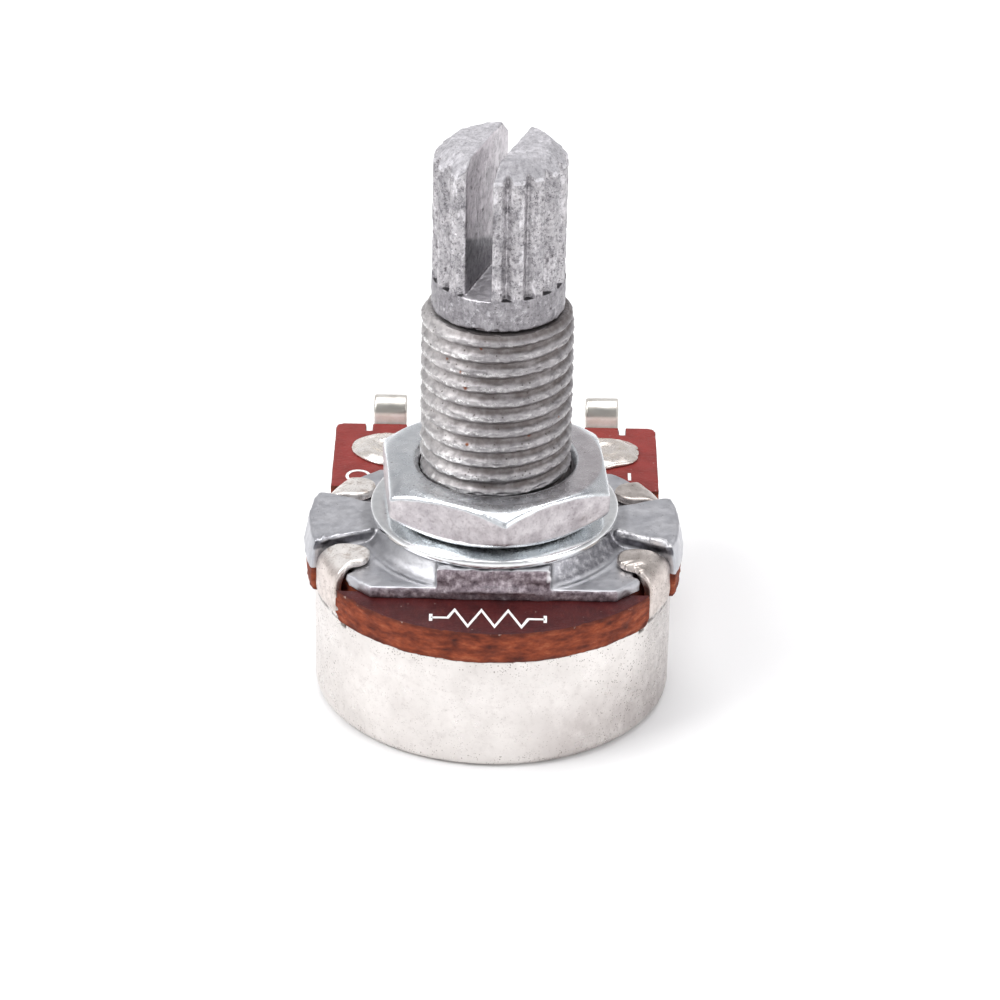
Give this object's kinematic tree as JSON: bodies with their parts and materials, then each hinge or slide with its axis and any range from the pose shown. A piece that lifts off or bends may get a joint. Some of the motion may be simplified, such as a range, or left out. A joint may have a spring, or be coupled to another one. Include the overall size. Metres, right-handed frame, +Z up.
{
  "type": "rotary potentiometer",
  "caption": "Small panel potentiometer: round tinned can, brown board with three hooked terminals, cast threaded bushing with nut and washer, split knurled shaft that turns.",
  "frame": {"origin": "middle of the can's flat end, on the shaft's axis", "axes": "+Z up the shaft, +Y towards the terminals"},
  "size_m": [0.0174, 0.0218, 0.0273],
  "materials": {
    "can_tin": "bright tinned steel with fine dark specks",
    "board_phenolic": "brown phenolic paper board with an orange-brown fibrous edge",
    "carbon_ink": "matt black printed carbon",
    "silver_ink": "printed silver ink",
    "contact_brass": "plain stamped brass",
    "zinc_casting": "grey die-cast zinc with rough cut edges",
    "washer_plate": "bright zinc plate",
    "nut_plate": "zinc plated steel with worn, slightly pink flats",
    "shaft_alloy": "granular grey cast alloy",
    "clip_steel": "dark spring steel",
    "rotor_plastic": "black moulded phenolic",
    "terminal_tin": "tinned strip",
    "rivet_nickel": "dull nickel, crimped rough"
  },
  "bodies": {
    "housing": {"rear_can": "can_tin", "circuit_board": "board_phenolic", "resistance_track": "carbon_ink", "track_end_pads": "silver_ink", "collector_ring": "contact_brass", "bushing_plate": "zinc_casting", "terminal_1": "terminal_tin", "terminal_2": "terminal_tin", "terminal_3": "terminal_tin", "terminal_rivets": "rivet_nickel"},
    "spindle": {"shaft": "shaft_alloy", "shaft_clip": "clip_steel", "rotor": "rotor_plastic", "wiper": "contact_brass"},
    "washer_ring": {"flat_washer": "washer_plate"},
    "nut": {"hex_nut": "nut_plate"}
  },
  "joints": [
    {"name": "shaft_turn", "type": "hinge", "parent": "housing", "child": "spindle", "pos_m": [0, 0, 0.012], "axis": [0, 0, 1], "range_deg": [-150, 150]},
    {"name": "washer_lift", "type": "slide", "parent": "housing", "child": "washer_ring", "axis": [0, 0, 1], "range_m": [0, 0.0075]},
    {"name": "nut_screw", "type": "hinge", "parent": "washer_ring", "child": "nut", "pos_m": [0, 0, 0.0104], "axis": [0, 0, 1], "range_deg": [0, 3600]}
  ],
  "couplings": [
    {"joint": "nut_screw", "follows": "washer_lift", "rad_per_m": 8377.6}
  ]
}
